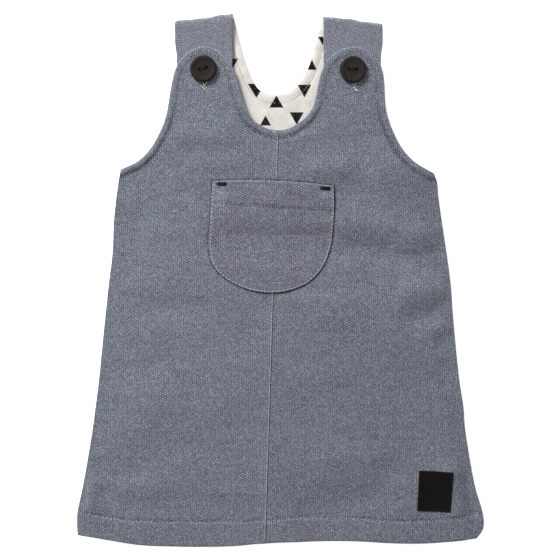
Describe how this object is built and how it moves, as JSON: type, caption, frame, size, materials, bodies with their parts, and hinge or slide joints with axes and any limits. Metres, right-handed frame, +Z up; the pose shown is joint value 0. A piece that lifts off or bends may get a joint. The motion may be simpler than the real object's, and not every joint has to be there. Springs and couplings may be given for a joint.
{
  "type": "pinafore dress",
  "caption": "Toddler's sleeveless pinafore dress laid flat: A-line skirt, buttoned shoulder straps folded to the front, patch pocket across the centre seam, lined back neck.",
  "frame": {"origin": "middle of the dress's outline, on the surface that it lies on", "axes": "+X to the right of the front as it is seen from above, +Y towards the shoulder straps, +Z up out of the front"},
  "size_m": [0.3252, 0.4267, 0.0103],
  "materials": {
    "twill": "brushed blue-grey melange cotton twill, matt",
    "lining": "plain-weave off-white cotton with a black geometric print, matt",
    "label": "woven black tape, matt",
    "button": "dark brown-charcoal resin, slightly glossy"
  },
  "bodies": {
    "root": {"back": "twill", "back_lining": "lining", "front_left": "twill", "front_right": "twill", "pocket": "twill", "label": "label", "button_left": "button", "button_right": "button"}
  },
  "joints": []
}
